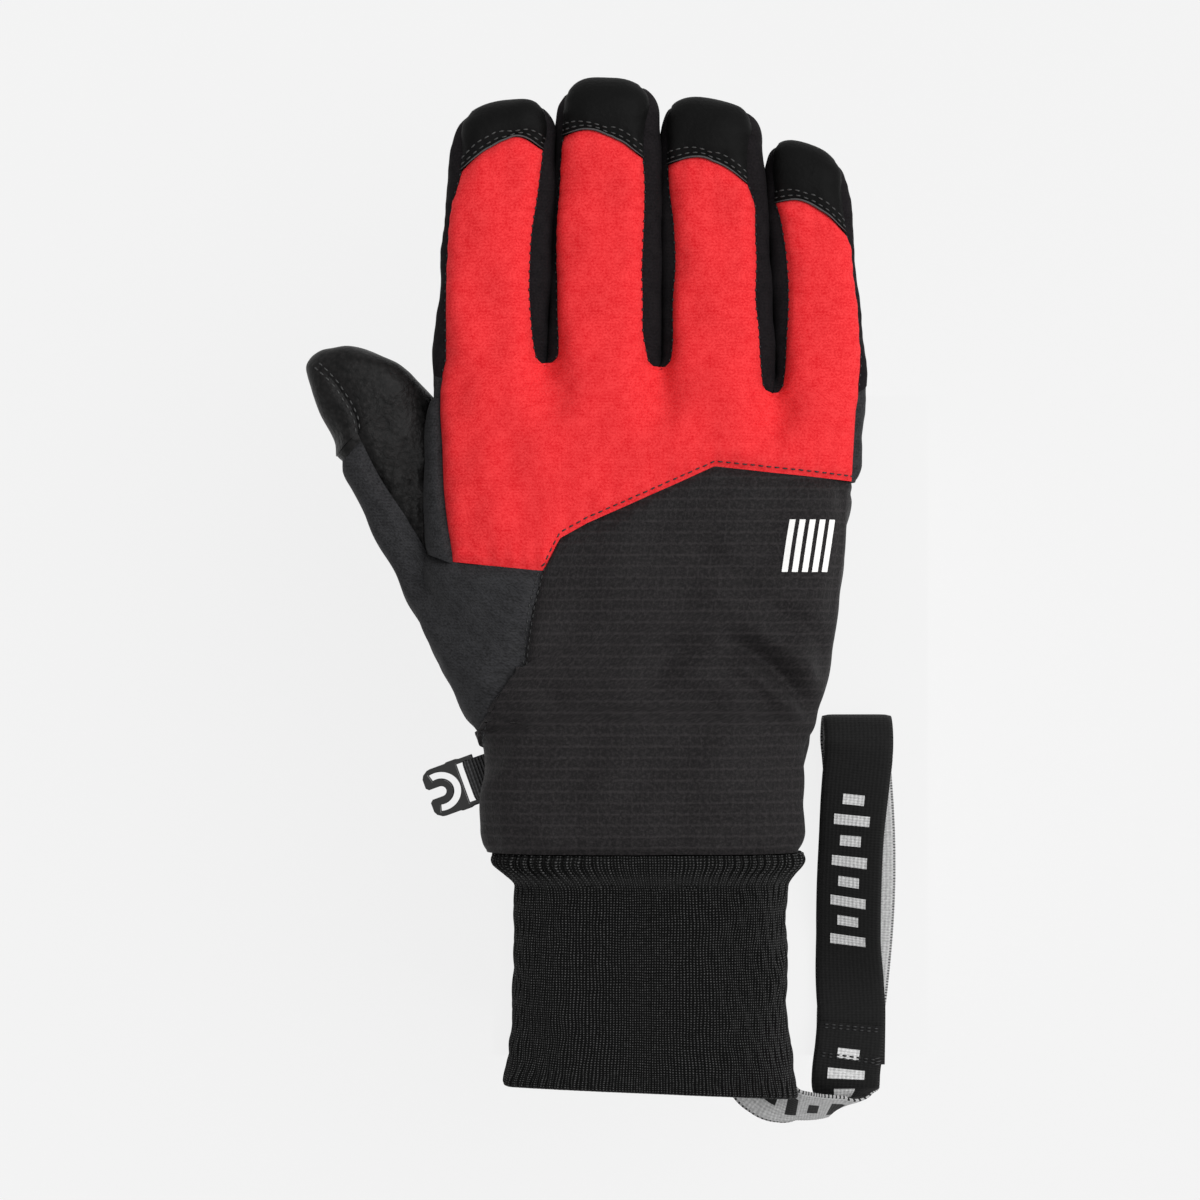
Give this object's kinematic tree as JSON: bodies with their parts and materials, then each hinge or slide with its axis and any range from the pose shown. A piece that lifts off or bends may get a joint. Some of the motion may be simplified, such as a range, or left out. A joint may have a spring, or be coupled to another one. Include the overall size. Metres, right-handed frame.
{
  "type": "ski glove",
  "caption": "Padded right-hand ski glove with leather palm, coloured stretch back, ripstop sleeve, knitted cuff, side clip and wrist leash; fingers and thumb bend",
  "frame": {"origin": "On the flat face of the leather palm, below the middle of the hand, so the glove lies palm down on z = 0", "axes": "+X from the thumb side to the little finger, +Y from the cuff to the fingertips, +Z out of the back of the hand"},
  "size_m": [0.1744, 0.3058, 0.037],
  "materials": {
    "coloured_softshell": "red stretch softshell with a fine smooth weave",
    "leather": "black grained goatskin, softly shiny",
    "dark_softshell": "charcoal stretch softshell, matt",
    "ripstop": "charcoal ripstop with fine raised ribs",
    "knit": "black ribbed knit",
    "wadding": "white synthetic wadding",
    "lining": "dark brushed fleece",
    "elastic": "white woven elastic",
    "transfer": "white heat transfer",
    "webbing": "black ribbed webbing",
    "moulded_plastic": "black moulded plastic, glossy",
    "leash_webbing": "black elastic webbing with a light grey woven pattern and a light grey reverse"
  },
  "bodies": {
    "hand": {"back_panel": "coloured_softshell", "palm_panel": "leather", "index_side_panel": "dark_softshell", "little_side_panel": "dark_softshell", "thumb_gusset": "dark_softshell", "gauntlet_back": "ripstop", "gauntlet_palm": "ripstop", "knit_cuff": "knit", "back_insulation": "wadding", "back_lining": "lining", "palm_lining": "lining", "wrist_elastic": "elastic", "emblem": "transfer", "clip_tab": "webbing"},
    "index_base": {"index_base_back": "coloured_softshell", "index_base_palm": "leather", "index_base_sides": "dark_softshell", "index_base_liner": "lining"},
    "index_tip": {"index_tip_back": "coloured_softshell", "index_tip_cap": "leather", "index_tip_palm": "leather", "index_tip_sides": "dark_softshell", "index_tip_liner": "lining"},
    "middle_base": {"middle_base_back": "coloured_softshell", "middle_base_palm": "leather", "middle_base_sides": "dark_softshell", "middle_base_liner": "lining"},
    "middle_tip": {"middle_tip_back": "coloured_softshell", "middle_tip_cap": "leather", "middle_tip_palm": "leather", "middle_tip_sides": "dark_softshell", "middle_tip_liner": "lining"},
    "ring_base": {"ring_base_back": "coloured_softshell", "ring_base_palm": "leather", "ring_base_sides": "dark_softshell", "ring_base_liner": "lining"},
    "ring_tip": {"ring_tip_back": "coloured_softshell", "ring_tip_cap": "leather", "ring_tip_palm": "leather", "ring_tip_sides": "dark_softshell", "ring_tip_liner": "lining"},
    "little_base": {"little_base_back": "coloured_softshell", "little_base_palm": "leather", "little_base_sides": "dark_softshell", "little_base_liner": "lining"},
    "little_tip": {"little_tip_back": "coloured_softshell", "little_tip_cap": "leather", "little_tip_palm": "leather", "little_tip_sides": "dark_softshell", "little_tip_liner": "lining"},
    "thumb_base": {"thumb_base_leather": "leather", "thumb_base_softshell": "dark_softshell", "thumb_base_liner": "lining"},
    "thumb_tip": {"thumb_tip_leather": "leather", "thumb_tip_strip": "leather", "thumb_tip_liner": "lining"},
    "clip": {"clip_hook": "moulded_plastic"},
    "leash": {"leash_loop": "leash_webbing", "leash_tail": "leash_webbing"}
  },
  "joints": [
    {"name": "index_knuckle", "type": "hinge", "parent": "hand", "child": "index_base", "pos_m": [-0.0464, 0.067, 0], "axis": [-1, 0, 0], "range_deg": [0, 60]},
    {"name": "index_curl", "type": "hinge", "parent": "index_base", "child": "index_tip", "pos_m": [-0.04434, 0.10041, 0], "axis": [-1, 0, 0], "range_deg": [0, 70]},
    {"name": "middle_knuckle", "type": "hinge", "parent": "hand", "child": "middle_base", "pos_m": [-0.0132, 0.067, 0], "axis": [-1, 0, 0], "range_deg": [0, 60]},
    {"name": "middle_curl", "type": "hinge", "parent": "middle_base", "child": "middle_tip", "pos_m": [-0.0126, 0.10312, 0], "axis": [-1, 0, 0], "range_deg": [0, 70]},
    {"name": "ring_knuckle", "type": "hinge", "parent": "hand", "child": "ring_base", "pos_m": [0.02, 0.067, 0], "axis": [-1, 0, 0], "range_deg": [0, 60]},
    {"name": "ring_curl", "type": "hinge", "parent": "ring_base", "child": "ring_tip", "pos_m": [0.01888, 0.10063, 0], "axis": [-1, 0, 0], "range_deg": [0, 70]},
    {"name": "little_knuckle", "type": "hinge", "parent": "hand", "child": "little_base", "pos_m": [0.0497, 0.067, 0], "axis": [-1, 0, 0], "range_deg": [0, 60]},
    {"name": "little_curl", "type": "hinge", "parent": "little_base", "child": "little_tip", "pos_m": [0.04755, 0.09516, 0], "axis": [-1, 0, 0], "range_deg": [0, 70]},
    {"name": "thumb_fold", "type": "hinge", "parent": "hand", "child": "thumb_base", "pos_m": [-0.0612, 0.0203, 0], "axis": [0.0313, -0.9995, 0], "range_deg": [0, 50]},
    {"name": "thumb_curl", "type": "hinge", "parent": "thumb_base", "child": "thumb_tip", "pos_m": [-0.0797, 0.0528, 0], "axis": [-0.7193, -0.6947, 0], "range_deg": [0, 45]},
    {"name": "clip_swivel", "type": "hinge", "parent": "hand", "child": "clip", "pos_m": [-0.0508, -0.0524, 0.0026], "axis": [-0.342, 0.9397, 0], "range_deg": [-70, 70]},
    {"name": "leash_swing", "type": "hinge", "parent": "hand", "child": "leash", "pos_m": [0.025, -0.1474, 0.005], "axis": [1, 0, 0], "range_deg": [0, 90]}
  ]
}
